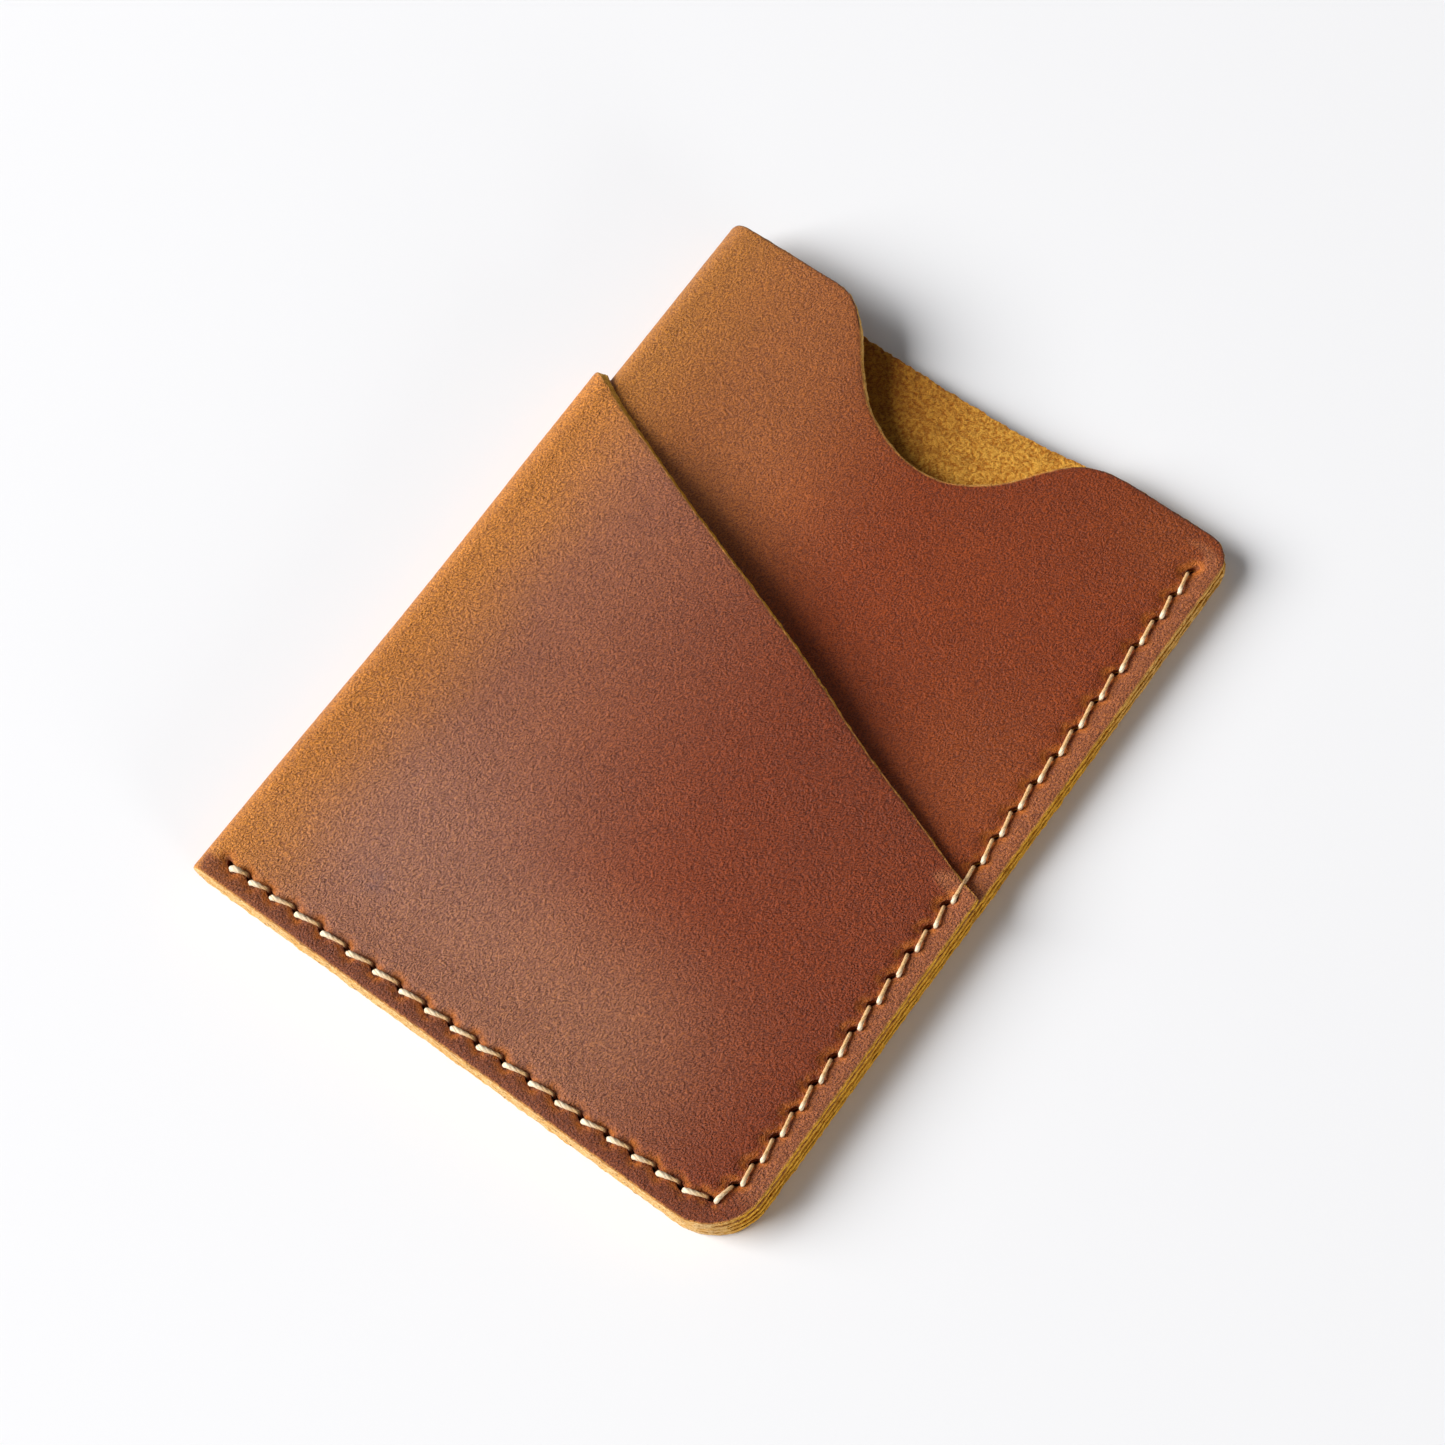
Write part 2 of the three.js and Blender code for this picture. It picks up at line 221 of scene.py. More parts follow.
def half_outline(kind, front):
    """Points from the bottom of the fold, round the side edge, to the top of the fold."""
    pts = [np.stack([np.linspace(0, W - RB, 240), np.zeros(240)], 1)[1:]]
    a = np.linspace(-90, 0, 34)[1:]
    pts.append(np.stack([W - RB + RB * np.cos(np.radians(a)), RB + RB * np.sin(np.radians(a))], 1))
    top = (kind.front_top if front else kind.back_top)
    x = np.linspace(W, 0, 700)
    y = top(x)
    if front and kind is Core:
        inside = (x > NOTCH[0, 0]) & (x < NOTCH[-1, 0])
        y = np.where(inside, hermite(NOTCH, np.clip(x, NOTCH[0, 0], NOTCH[-1, 0])) + (y - TOP - 0.45 * (1 - ss(17, 40, x))), y)
    d = np.clip(x - (W - RT), 0, RT)
    corner = TOP - RT + np.sqrt(np.maximum(RT * RT - d * d, 0))
    meets = not (front and kind is Wrap)
    if meets:
        y = np.minimum(y, np.where(x > W - RT, corner, 1e9))
    else:
        y = y.copy()
    y_side = y[0]
    side = np.arange(RB, y_side, 0.3)[1:]
    pts.append(np.stack([np.full(len(side), W), side], 1))
    pts.append(np.stack([x, y], 1)[:-1])
    return np.concatenate(pts)


def respace(p, step):
    s = np.concatenate([[0], np.cumsum(np.linalg.norm(np.diff(p, axis=0), axis=1))])
    n = max(2, int(round(s[-1] / step)))
    at = np.linspace(0, s[-1], n + 1)
    return np.stack([np.interp(at, s, p[:, k]) for k in range(2)], 1)


def outline(kind):
    f, b = half_outline(kind, True), half_outline(kind, False)
    # cut by hand: the line wanders a little, and nibbles at a fine scale
    loop = []
    for p, front in ((f, True), (b, False)):
        q = to_q(kind, p[:, 0], p[:, 1], front)
        # near the fold the pattern runs on evenly to its middle
        near = p[:, 0] < kind.A + 2
        t = np.clip(p[:, 0] / (kind.A + 2), 0, 1)
        q_edge = to_q(kind, np.full(len(p), kind.A + 2.0), p[:, 1], front)
        q = np.where(near, q_edge * t, q)
        loop.append(np.stack([q, p[:, 1]], 1))
    top = loop[0][-1][1] * 0.5 + loop[1][-1][1] * 0.5
    path = np.concatenate([[[0, 0]], loop[0], [[0, top]], loop[1][::-1], [[0, 0]]])
    path = respace(path, 0.27)[:-1]
    d = np.roll(path, -1, 0) - np.roll(path, 1, 0)
    d /= np.linalg.norm(d, axis=1, keepdims=True)
    n = np.stack([d[:, 1], -d[:, 0]], 1)
    seed = 40 if kind is Core else 50
    wob = 0.035 * smooth_noise(path[:, 0] * 1.0, path[:, 1], 2.2, seed, 3) + 0.02 * smooth_noise(path[:, 0], path[:, 1], 0.6, seed + 1, 1)
    fray = np.zeros(len(path))
    if kind is Core:
        top_back = (path[:, 0] < -12) & (path[:, 1] > 88)
        fray = top_back * (0.16 * smooth_noise(path[:, 0], path[:, 1], 0.62, 47, 2) + 0.08 * smooth_noise(path[:, 0], path[:, 1], 0.3, 48, 1))
    return path - n * (np.abs(wob) * 1.4 + fray)[:, None]


def run_dir():
    d = np.empty_like(SLITS)
    for i in range(len(SLITS)):
        v = SLITS[min(i + 1, len(SLITS) - 1)] - SLITS[max(i - 1, 0)]
        d[i] = v / np.linalg.norm(v)
    return d


RUN = run_dir()
SLIT_TURN = math.radians(-28)
SLIT_DIR = np.stack([RUN[:, 0] * math.cos(SLIT_TURN) - RUN[:, 1] * math.sin(SLIT_TURN),
                     RUN[:, 0] * math.sin(SLIT_TURN) + RUN[:, 1] * math.cos(SLIT_TURN)], 1)
HALF_L, HALF_W = 0.72, 0.32      # awl slit


def slit_loops(kind):
    loops = []
    for front in (True, False):
        for i, c in enumerate(SLITS):
            if front and kind is Wrap and i > LAST_LOW:
                continue
            d = SLIT_DIR[i]
            n = np.array([-d[1], d[0]])
            prof = [(1, 0), (.72, .62), (.3, .95), (-.3, .95), (-.72, .62), (-1, 0), (-.72, -.62), (-.3, -.95), (.3, -.95), (.72, -.62)]
            p = np.array([c + d * a * HALF_L + n * b * HALF_W for a, b in prof])
            q = to_q(kind, p[:, 0], p[:, 1], front)
            loops.append(np.stack([q, p[:, 1]], 1))
    return loops


def seg_dist(p, a, b):
    """Distance of points p from segments a-b, the least over all segments."""
    best = np.full(len(p), 1e9)
    for s, e in zip(a, b):
        d = e - s
        t = np.clip(((p - s) @ d) / max(d @ d, 1e-12), 0, 1)
        best = np.minimum(best, np.linalg.norm(p - s - t[:, None] * d, axis=1))
    return best


def tree(points):
    t = KDTree(len(points))
    for i, p in enumerate(points):
        t.insert((p[0], p[1], 0), i)
    t.balance()
    return t


def near_dist(t, p):
    return np.array([t.find((a, b, 0))[2] for a, b in p])


def inside(poly, p):
    """Even-odd test of points in a closed polygon."""
    out = np.zeros(len(p), bool)
    x1, y1 = poly[:, 0], poly[:, 1]
    x2, y2 = np.roll(x1, -1), np.roll(y1, -1)
    for k in range(0, len(p), 2000):
        px, py = p[k:k + 2000, 0:1], p[k:k + 2000, 1:2]
        cross = (y1 > py) != (y2 > py)
        xi = (x2 - x1) * (py - y1) / np.where(y2 == y1, 1e-12, y2 - y1) + x1
        out[k:k + 2000] = (cross & (px < xi)).sum(1) % 2 == 1
    return out


def hexgrid(h, q0, q1, y0, y1):
    rows = np.arange(y0, y1, h * 0.866)
    pts = []
    for k, y in enumerate(rows):
        q = np.arange(q0 + (k % 2) * h / 2, q1, h)
        pts.append(np.stack([q, np.full(len(q), y)], 1))
    return np.concatenate(pts)


COARSE = 0.78
FINE = 0.34


def flat_mesh(kind):
    loop = outline(kind)
    slits = slit_loops(kind)
    seam_f = np.stack([to_q(kind, SLITS[:, 0], SLITS[:, 1]), SLITS[:, 1]], 1)
    if kind is Wrap:
        seams = [seam_f[:LAST_LOW + 1], seam_f * [-1, 1]]
    else:
        seams = [seam_f, seam_f * [-1, 1]]
    sa = np.concatenate([s[:-1] for s in seams])
    sb = np.concatenate([s[1:] for s in seams])

    grids = []
    c = hexgrid(COARSE, -W, W, 0, 95)
    c = c + rng.normal(0, COARSE * 0.06, c.shape)
    f = hexgrid(FINE, -W, W, 0, 95)
    lt = tree(loop)
    f_rough = (seg_dist(f, sa, sb) < 1.7)
    # fine points along every cut edge too, found on the coarse grid's own distance
    box_edge = (f[:, 1] < 1.2) | (np.abs(f[:, 0]) > W - 1.2) | (f[:, 1] > 40)
    cand = np.where(~f_rough & box_edge)[0]
    dd = np.full(len(f), 9.0)
    dd[cand] = near_dist(lt, f[cand])
    keep = f_rough | (dd < 0.62)
    f = f[keep]
    f = f[near_dist(lt, f) > 0.17]
    c = c[(seg_dist(c, sa, sb) >= 1.7)]
    c = c[near_dist(lt, c) >= 0.62 + COARSE * 0.25]
    grids = np.concatenate([f, c])
    grids = grids[inside(loop, grids)]
    hp = np.concatenate(slits)
    centres = np.array([s.mean(0) for s in slits])
    ht = tree(hp)
    grids = grids[near_dist(ht, grids) > 0.13]
    ct = tree(centres)
    near_c = near_dist(ct, grids) < 0.95
    bad = np.zeros(len(grids), bool)
    idx = np.where(near_c)[0]
    for k in idx:
        j = ct.find((grids[k, 0], grids[k, 1], 0))[1]
        bad[k] = inside(slits[j], grids[k:k + 1])[0]
    grids = grids[~bad]

    pts = np.concatenate([loop, hp, grids])
    edges = [(i, (i + 1) % len(loop)) for i in range(len(loop))]
    base = len(loop)
    loop_ids = [list(range(len(loop)))]
    for s in slits:
        n = len(s)
        edges += [(base + i, base + (i + 1) % n) for i in range(n)]
        loop_ids.append(list(range(base, base + n)))
        base += n
    vo, eo, fo, ov, oe, of_ = delaunay_2d_cdt([Vector(p) for p in pts.tolist()], edges, [], 0, 1e-7, True)
    V = np.array([v[:] for v in vo])
    F = np.array([f_ for f_ in fo if len(f_) == 3])
    new_of = {}
    for i, o in enumerate(ov):
        for k in o:
            new_of[k] = i
    cen = V[F].mean(1)
    ok = inside(loop, cen)
    near = near_dist(ct, cen) < 0.95
    for k in np.where(near & ok)[0]:
        j = ct.find((cen[k, 0], cen[k, 1], 0))[1]
        if inside(slits[j], cen[k:k + 1])[0]:
            ok[k] = False
    F = F[ok]
    a, b, c_ = V[F[:, 0]], V[F[:, 1]], V[F[:, 2]]
    area = (b[:, 0] - a[:, 0]) * (c_[:, 1] - a[:, 1]) - (b[:, 1] - a[:, 1]) * (c_[:, 0] - a[:, 0])
    F = np.where((area < 0)[:, None], F[:, ::-1], F)
    used = np.unique(F)
    remap = -np.ones(len(V), int)
    remap[used] = np.arange(len(used))
    V, F = V[used], remap[F]
    loops = []
    for n, ids in enumerate(loop_ids):
        ring = []
        for k in ids:
            j = remap[new_of[k]]
            if j >= 0 and (not ring or ring[-1] != j):
                ring.append(int(j))
        p = V[ring]
        area = 0.5 * np.sum(p[:, 0] * np.roll(p[:, 1], -1) - np.roll(p[:, 0], -1) * p[:, 1])
        want = 1 if n == 0 else -1                 # the leather is on the left of every loop
        if area * want < 0:
            ring = ring[::-1]
        loops.append(ring)
    return V, F, loops, (sa, sb), slits


def leather(kind, name):
    V, F, loops, (sa, sb), slits = flat_mesh(kind)
    q, y = V[:, 0], V[:, 1]
    pos, nor = with_normal(kind, q, y)
    front = q > 0
    edge_pts = V[loops[0]]
    et = tree(edge_pts)
    edge_d = near_dist(et, V)
    edge_d[loops[0]] = 0
    seam_d = seg_dist(V, sa, sb)
    cen = np.array([s.mean(0) for s in slits])
    ca = np.array([s[5] for s in slits])
    cb = np.array([s[0] for s in slits])
    hole_d = seg_dist(V, ca, cb)
    on_seam = seam_d < 4

    # The thread pulls the grain side down: a dimple at each slit and a shallow valley between,
    # with the leather swelling a little on both sides of it.
    top_of_stack = (front if kind is Wrap else front & (y > mouth_y(np.abs(q)) - 0.0))
    back_face = (~front) & (kind is Wrap)
    d = np.zeros(len(V))
    dimple = -0.34 * np.exp(-(hole_d / 0.62) ** 2) - 0.12 * np.exp(-(hole_d / 1.5) ** 2)
    valley = -0.11 * np.exp(-(seam_d / 0.75) ** 2) + 0.035 * np.exp(-((seam_d - 1.7) / 0.7) ** 2)
    press = 0.05 * smooth_noise(q, y, 1.6, 61, 2) * np.exp(-(seam_d / 2.2) ** 2)
    shown = top_of_stack.astype(float)
    if kind is Core:
        shown = ss(0.0, 1.2, y - mouth_y(np.abs(q)) ) * front
    d += shown * (dimple + valley + press)
    if kind is Wrap:
        groove = -0.62 * np.exp(-(seam_d / 0.62) ** 4)
        d += (~front) * groove
    # the cut edge: the grain side rolls over a little
    d -= 0.10 * np.exp(-(edge_d / 0.16) ** 1.5)
    # finest relief of the hide that the mesh can hold
    d += 0.018 * smooth_noise(q, y, 3.3, 71, 2) * ss(0.3, 1.5, edge_d) * (1 - back_face * 0.8)
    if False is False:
        pass

    flesh = -T / 2 + 0.02 * smooth_noise(q, y, 1.7, 81, 2)
    grain = pos + nor * (T / 2 + d)[:, None]
    fl = pos + nor * flesh[:, None]
    nv = len(V)
    verts = [grain, fl]
    faces = [F, F[:, ::-1] + nv]
    mats = [np.zeros(len(F), int), np.ones(len(F), int)]
    attr = {"edge_d": [edge_d, edge_d], "seam_d": [seam_d, seam_d], "hole_d": [hole_d, hole_d],
            "flat_x": [q, q], "flat_y": [y, y], "through": [np.zeros(nv), np.ones(nv)]}
    base = 2 * nv
    quads, qm = [], []
    for n, ring in enumerate(loops):
        ring = np.array(ring)
        m = len(ring)
        g, f_ = grain[ring], fl[ring]
        tan = np.roll(pos[ring], -1, 0) - np.roll(pos[ring], 1, 0)
        tan /= np.maximum(np.linalg.norm(tan, axis=1, keepdims=True), 1e-9)
        out = np.cross(tan, nor[ring])
        out /= np.maximum(np.linalg.norm(out, axis=1, keepdims=True), 1e-9)
        if n == 0:
            steps = [0.06, 0.2, 0.36, 0.52, 0.68, 0.84, 0.95]
            arc = np.concatenate([[0], np.cumsum(np.linalg.norm(np.diff(pos[ring], axis=0), axis=1))])
            qx, qy = np.abs(q[ring]), y[ring]
            if kind is Core:
                bevel = ss(17.5, 21, qx) * ss(50, 44, qx) * (q[ring] > 0) * (qy > 60)
            else:
                bevel = ss(0.3, 2, qx) * (1 + 1.0 * (1 - ss(2, 13, qx))) * (q[ring] > 0) * (qy > 30) * ss(0.25, 1.2, W - qx) * (1 - 0.85 * ss(34, 58, qx))
            bulge = [0.035 * math.sin(math.pi * s) + 0.02 + bevel * 0.28 * s for s in steps]
        else:
            steps = [0.5]
            arc = np.zeros(m)
            bulge = [0.0]
        rings = [ring]
        for s, bgl in zip(steps, bulge):
            rough = 0.0
            if n == 0:
                rough = (0.06 * smooth_noise(arc, np.full(m, s * T * 2.2), 1.1, 90 + n, 2) + 0.12 * smooth_noise(arc, np.full(m, s * 9), 0.62, 93, 1)) * ss(0, 0.12, s) * ss(1, 0.9, s)
            p = g * (1 - s) + f_ * s + out * (np.zeros(m) + bgl + rough)[:, None]
            verts.append(p)
            for key, src in (("edge_d", np.zeros(m)), ("seam_d", seam_d[ring]), ("hole_d", hole_d[ring]),
                             ("flat_x", q[ring]), ("flat_y", y[ring]), ("through", np.full(m, s))):
                attr[key].append(src)
            rings.append(np.arange(base, base + m))
            base += m
        rings.append(ring + nv)
        for r0, r1 in zip(rings[:-1], rings[1:]):
            a, b = r0, np.roll(r0, -1)
            c, e = np.roll(r1, -1), r1
            quads.append(np.stack([a, e, c, b], 1))
            qm.append(np.full(m, 2 if n == 0 else 3))
    verts = np.concatenate(verts)
    verts = (verts - [X0, Y0, 0]) / 1000.0
    verts[:, 2] = np.maximum(verts[:, 2], 0.00001)
    tris = np.concatenate(faces)
    quads = np.concatenate(quads)
    mesh = bpy.data.meshes.new(name)
    mesh.vertices.add(len(verts))
    mesh.vertices.foreach_set("co", verts.astype(np.float32).ravel())
    loops_v = np.concatenate([tris.ravel(), quads.ravel()]).astype(np.int32)
    mesh.loops.add(len(loops_v))
    mesh.loops.foreach_set("vertex_index", loops_v)
    starts = np.concatenate([np.arange(len(tris)) * 3, len(tris) * 3 + np.arange(len(quads)) * 4]).astype(np.int32)
    mesh.polygons.add(len(starts))
    mesh.polygons.foreach_set("loop_start", starts)
    mesh.polygons.foreach_set("material_index", np.concatenate(mats + qm).astype(np.int32))
    mesh.update(calc_edges=True)
    mesh.validate()
    for key, parts in attr.items():
        a = mesh.attributes.new(key, "FLOAT", "POINT")
        a.data.foreach_set("value", np.concatenate(parts).astype(np.float32))
    mesh.polygons.foreach_set("use_smooth", np.ones(len(mesh.polygons), bool))
    mesh.set_sharp_from_angle(angle=math.radians(42))
    obj = bpy.data.objects.new(name, mesh)
    bpy.context.scene.collection.objects.link(obj)
    return obj, verts


# ---- thread ------------------------------------------------------------------------------------------
THREAD_R = 0.25


def thread_path():
    """Both runs of the saddle stitch as one line. Each point: x, y, z, radius, how much painted highlight it carries.
    """
    top4, top3 = T / 2 + 3 * PITCH + T / 2, T / 2 + 2 * PITCH + T / 2
    off = 0.54
    runs = []
    jitter = np.random.default_rng(5)
    for front_first in (True, False):
        pts = []
        for i in range(len(SLITS) - 1):
            front = (i % 2 == 0) == front_first
            u = SLIT_DIR[i] if front else np.array([RUN[i][0] * .94 - RUN[i][1] * .34, RUN[i][0] * .34 + RUN[i][1] * .94])
            v = SLIT_DIR[i + 1] if front else np.array([RUN[i + 1][0] * .94 - RUN[i + 1][1] * .34, RUN[i + 1][0] * .34 + RUN[i + 1][1] * .94])
            a, b = SLITS[i] + u * off, SLITS[i + 1] - v * off
            L = np.linalg.norm(b - a)
            k = (b - a) / L
            if front:
                za = top4 if i <= LAST_LOW else top3
                zb = top4 if i + 1 <= LAST_LOW else top3
                lift = 0.04 * jitter.random()
                side = np.array([-k[1], k[0]]) * 0.06 * (jitter.random() - 0.5)
                low_row = 1 - ss(17, 21, i)
                r0 = (0.262 + 0.052 * low_row) * (1 + 0.10 * (jitter.random() - 0.5)) * (1.18 if i == 0 else 1)
                r1 = (0.215 + 0.045 * low_row) * (1 + 0.08 * (jitter.random() - 0.5)) * (1.15 if i == 0 else 1)
                r2 = 0.205
                pts.append((*(a - k * 0.02), za - 0.80, r2, 0))
                pts.append((*(a - k * 0.03), za - 0.26, r0 * .9, .5))
                pts.append((*(a + k * 0.08), za + 0.13, r0, 1))
                wide = .05 + .80 * low_row
                pts.append((*(a + k * 0.36 + side), za + 0.20 + lift, r0 * (.94 + .05 * low_row), .6 + .4 * low_row))
                pts.append((*(a + k * 0.80 + side), za + 0.15 + lift, r1 + (r0 - r1) * low_row * .7, wide))
                if za != zb:
                    m = mouth_y(a[0])
                    for y_off, z, r in ((-1.0, za + 0.13, r1), (-0.4, za - 0.02, r1), (0.1, za - 0.24, r1), (0.7, zb + 0.30, r1), (1.4, zb + 0.16, r1)):
                        f = (m + y_off - a[1]) / (b[1] - a[1])
                        pts.append((*(a + (b - a) * f), z, r, .1))
                else:
                    pts.append((*(a + k * L * (0.60 - 0.04 * low_row) + side), za + 0.11 + lift - 0.02 * low_row, r1 * .97, .0 + .4 * low_row))
                pts.append((*(b - k * (0.50 + 0.06 * low_row) + side * 0.5), zb + 0.06 - 0.06 * low_row + lift * 0.5, r1 * (.92 - .08 * low_row), .1))
                pts.append((*(b - k * 0.12), zb - 0.10, r2, 0))
                pts.append((*(b + k * 0.04), zb - 0.42, r2, 0))
                pts.append((*(b + k * 0.04), zb - 0.85, r2, 0))
            else:
                z = THREAD_R + 0.03
                r0, r1 = 0.27, 0.245
                pts.append((*a, 1.05, r1, 0))
                pts.append((*(a + k * 0.10), z + 0.24, r0, .8))
                pts.append((*(a + k * 0.50), z + 0.02, r0, .6))
                pts.append((*(a + k * L * 0.5), z, r1, .2))
                pts.append((*(b - k * 0.50), z + 0.01, r1, .2))
                pts.append((*(b - k * 0.10), z + 0.24, r1, .1))
                pts.append((*b, 1.05, r1, 0))
        runs.append(np.array(pts))
    A, B = runs
    A = np.concatenate([A, [[A[-1][0], A[-1][1], 1.9, .22, 0]]])
    B = np.concatenate([B, [[B[-1][0], B[-1][1], 1.6, .22, 0]]])
    return np.concatenate([A[::-1], B])


def catmull(p, step):
    out = []
    p = np.concatenate([[2 * p[0] - p[1]], p, [2 * p[-1] - p[-2]]])
    for i in range(1, len(p) - 2):
        p0, p1, p2, p3 = p[i - 1], p[i], p[i + 1], p[i + 2]
        d = [max(np.linalg.norm((b - a)[:3]), 1e-4) ** 0.5 for a, b in ((p0, p1), (p1, p2), (p2, p3))]
        t0, t1 = 0, d[0]
        t2 = t1 + d[1]
        t3 = t2 + d[2]
        n = max(1, int(round(np.linalg.norm((p2 - p1)[:3]) / step)))
        t = t1 + (t2 - t1) * (np.arange(n) / n)[:, None]
        a1 = (t1 - t) / (t1 - t0) * p0 + (t - t0) / (t1 - t0) * p1
        a2 = (t2 - t) / (t2 - t1) * p1 + (t - t1) / (t2 - t1) * p2
        a3 = (t3 - t) / (t3 - t2) * p2 + (t - t2) / (t3 - t2) * p3
        b1 = (t2 - t) / (t2 - t0) * a1 + (t - t0) / (t2 - t0) * a2
        b2 = (t3 - t) / (t3 - t1) * a2 + (t - t1) / (t3 - t1) * a3
        out.append((t2 - t) / (t2 - t1) * b1 + (t - t1) / (t2 - t1) * b2)
    out.append(p[-2][None])
    return np.concatenate(out)


def thread(name):
    path = catmull(thread_path(), 0.16)
    painted_bead_highlight = np.clip(path[:, 4], 0, 1)
    girth = np.clip(path[:, 3], 0.17, 0.42)
    path = path[:, :3]
    s = np.concatenate([[0], np.cumsum(np.linalg.norm(np.diff(path, axis=0), axis=1))])
    tan = np.gradient(path, axis=0)
    tan /= np.maximum(np.linalg.norm(tan, axis=1, keepdims=True), 1e-9)
    up = np.array([0.3, 0.2, 1.0])
    n1 = np.empty_like(path)
    prev = np.cross(tan[0], up)
    for i, t in enumerate(tan):
        v = prev - t * (prev @ t)
        v /= np.linalg.norm(v)
        n1[i] = prev = v
    n2 = np.cross(tan, n1)
    K = 14
    lay = 2.0                                     # length of one turn of the twist
    ang = np.arange(K) / K * 2 * np.pi
    twist = 2 * np.pi * s / lay
    lobes = np.abs(np.cos(1.5 * ang))[None, :] ** 0.55   # three plies in the section
    rad = girth[:, None] * (0.80 + 0.20 * lobes) * (1 + 0.05 * smooth_noise(s, 0 * s, 1.7, 33, 2))[:, None]
    ca, sa_ = np.cos(ang[None, :] + twist[:, None]), np.sin(ang[None, :] + twist[:, None])
    ring = path[:, None, :] + rad[:, :, None] * (ca[:, :, None] * n1[:, None, :] + sa_[:, :, None] * n2[:, None, :])
    verts = ring.reshape(-1, 3)
    n = len(path)
    i = np.arange(n - 1)[:, None] * K
    j = np.arange(K)[None, :]
    quads = np.stack([i + j, i + (j + 1) % K, i + K + (j + 1) % K, i + K + j], -1).reshape(-1, 4)
    verts = np.concatenate([verts, path[:1], path[-1:]])
    c0, c1 = n * K, n * K + 1
    jj = np.arange(K)
    caps = np.concatenate([np.stack([np.full(K, c0), (jj + 1) % K, jj], 1),
                           np.stack([np.full(K, c1), (n - 1) * K + jj, (n - 1) * K + (jj + 1) % K], 1)])
    ply = np.concatenate([np.tile(lobes.ravel(), n), [1, 1]])
    along = np.concatenate([np.repeat(s, K), [0, s[-1]]])
    depth = verts[:, 2].copy()
    verts = (verts - [X0, Y0, 0]) / 1000.0
    verts[:, 2] = np.maximum(verts[:, 2], 0.00001)
    mesh = bpy.data.meshes.new(name)
    mesh.from_pydata(verts.tolist(), [], quads.tolist() + caps.tolist())
    mesh.validate()
    painted_bead_highlight = np.concatenate([np.repeat(painted_bead_highlight, K), [0, 0]])
    for key, val in (("ply", ply), ("along", along), ("painted_bead_highlight", painted_bead_highlight)):
        a = mesh.attributes.new(key, "FLOAT", "POINT")
        a.data.foreach_set("value", val.astype(np.float32))
    # how deep each point lies below the leather round it: 0 on the surface, 1 inside a slit
    xy = verts[:, :2] * 1000 + [X0, Y0]
    low = xy[:, 1] < mouth_y(np.clip(xy[:, 0], 0, W))
    surf = np.where(low, 4 * PITCH - 0.03, 3 * PITCH - 0.03)
    sunk = np.clip((surf - 0.04 - depth) / 0.4, 0, 1)
    sunk = np.where(depth < 1.0, np.clip((depth - 0.55) / 0.4, 0, 1), sunk)
    a = mesh.attributes.new("sunk", "FLOAT", "POINT")
    a.data.foreach_set("value", sunk.astype(np.float32))
    mesh.polygons.foreach_set("use_smooth", np.ones(len(mesh.polygons), bool))
    mesh.update()
    obj = bpy.data.objects.new(name, mesh)
    bpy.context.scene.collection.objects.link(obj)
    return obj


# ---- materials ---------------------------------------------------------------------------------------
def srgb(r, g, b):
    f = lambda c: (c / 255 / 12.92) if c <= 10.31 else ((c / 255 + 0.055) / 1.055) ** 2.4
    return (f(r), f(g), f(b), 1.0)


